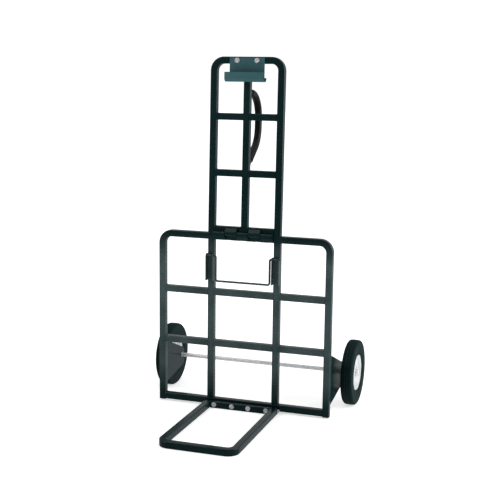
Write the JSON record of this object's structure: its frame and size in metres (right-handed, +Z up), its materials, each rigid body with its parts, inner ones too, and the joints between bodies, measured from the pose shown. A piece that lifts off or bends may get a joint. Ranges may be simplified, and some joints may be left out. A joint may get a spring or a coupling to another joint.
{
  "type": "luggage cart",
  "caption": "Folding two-wheeled luggage cart: wide lower frame, narrow fold-over upper frame with hook and carrying handle, fold-up toe, wire bail.",
  "frame": {"origin": "on the floor under the middle of the cart's overall box, as it stands open", "axes": "+Z up, +Y towards the wheels (the back), so the toe reaches to -Y; +X to the right of someone looking from the toe side"},
  "size_m": [0.81, 0.8422, 1.3333],
  "materials": {
    "frame_paint": "glossy dark green enamel",
    "bracket_paint": "satin green enamel, a little lighter than the frame",
    "wheel_paint": "gloss white enamel",
    "plated_steel": "bright plated",
    "zinc_steel": "zinc plated",
    "tyre": "moulded, ribbed tread",
    "grip_rubber": "smooth moulded sleeve",
    "plug_plastic": "moulded",
    "bush_plastic": "moulded"
  },
  "bodies": {
    "lower_frame": {"axle": "plated_steel", "axle_cap_left": "plated_steel", "axle_cap_right": "plated_steel", "axle_spacer_left": "plated_steel", "axle_spacer_right": "plated_steel", "axle_washers": "plated_steel", "bail_bracket_left": "frame_paint", "bail_bracket_right": "frame_paint", "bottom_rail": "frame_paint", "gusset_left": "frame_paint", "gusset_right": "frame_paint", "hinge_leaf_lower": "frame_paint", "hinge_pin": "frame_paint", "inner_upright_left": "frame_paint", "inner_upright_right": "frame_paint", "lower_hoop": "frame_paint", "lower_leg_plugs": "plug_plastic", "lower_mid_rail_centre": "frame_paint", "lower_mid_rail_left": "frame_paint", "lower_mid_rail_right": "frame_paint", "toe_mount_bar": "frame_paint", "toe_mount_bolts": "zinc_steel", "toe_mount_nuts": "zinc_steel", "toe_mount_washers": "zinc_steel", "toe_pivot_bolts": "zinc_steel", "toe_pivot_inserts": "zinc_steel", "upper_mid_rail_centre": "frame_paint", "upper_mid_rail_left": "frame_paint", "upper_mid_rail_right": "frame_paint"},
    "upper_frame": {"upper_hoop": "frame_paint", "upper_bottom_rail": "frame_paint", "centre_post": "frame_paint", "lower_rung_left": "frame_paint", "lower_rung_right": "frame_paint", "upper_rung_left": "frame_paint", "upper_rung_right": "frame_paint", "upper_leg_plugs": "plug_plastic", "hook_bracket": "bracket_paint", "hook_bolts": "zinc_steel", "hook_washers": "zinc_steel", "hook_nuts": "zinc_steel", "handle_loop": "frame_paint", "handle_grip": "grip_rubber", "hinge_leaf_upper": "frame_paint"},
    "toe": {"toe_loop": "frame_paint", "toe_pivot_bushes": "bush_plastic"},
    "bail": {"bail": "frame_paint"},
    "wheel_left": {"tyre_left": "tyre", "wheel_disc_outer_left": "wheel_paint", "wheel_disc_inner_left": "wheel_paint", "wheel_hub_left": "wheel_paint", "wheel_bushes_left": "bush_plastic"},
    "wheel_right": {"tyre_right": "tyre", "wheel_disc_outer_right": "wheel_paint", "wheel_disc_inner_right": "wheel_paint", "wheel_hub_right": "wheel_paint", "wheel_bushes_right": "bush_plastic"}
  },
  "joints": [
    {"name": "upper_fold", "type": "hinge", "parent": "lower_frame", "child": "upper_frame", "pos_m": [0, 0.0566, 0.6805], "axis": [1, 0, 0], "range_deg": [0, 181.8]},
    {"name": "toe_fold", "type": "hinge", "parent": "lower_frame", "child": "toe", "pos_m": [0, 0.0574, 0.0127], "axis": [-1, 0, 0], "range_deg": [0, 90]},
    {"name": "bail_swing", "type": "hinge", "parent": "lower_frame", "child": "bail", "pos_m": [0, 0.0611, 0.5945], "axis": [1, 0, 0], "range_deg": [-110, 120]},
    {"name": "wheel_left_spin", "type": "hinge", "parent": "lower_frame", "child": "wheel_left", "pos_m": [-0.3818, 0.2941, 0.127], "axis": [1, 0, 0], "continuous": true},
    {"name": "wheel_right_spin", "type": "hinge", "parent": "lower_frame", "child": "wheel_right", "pos_m": [0.3818, 0.2941, 0.127], "axis": [1, 0, 0], "continuous": true}
  ]
}
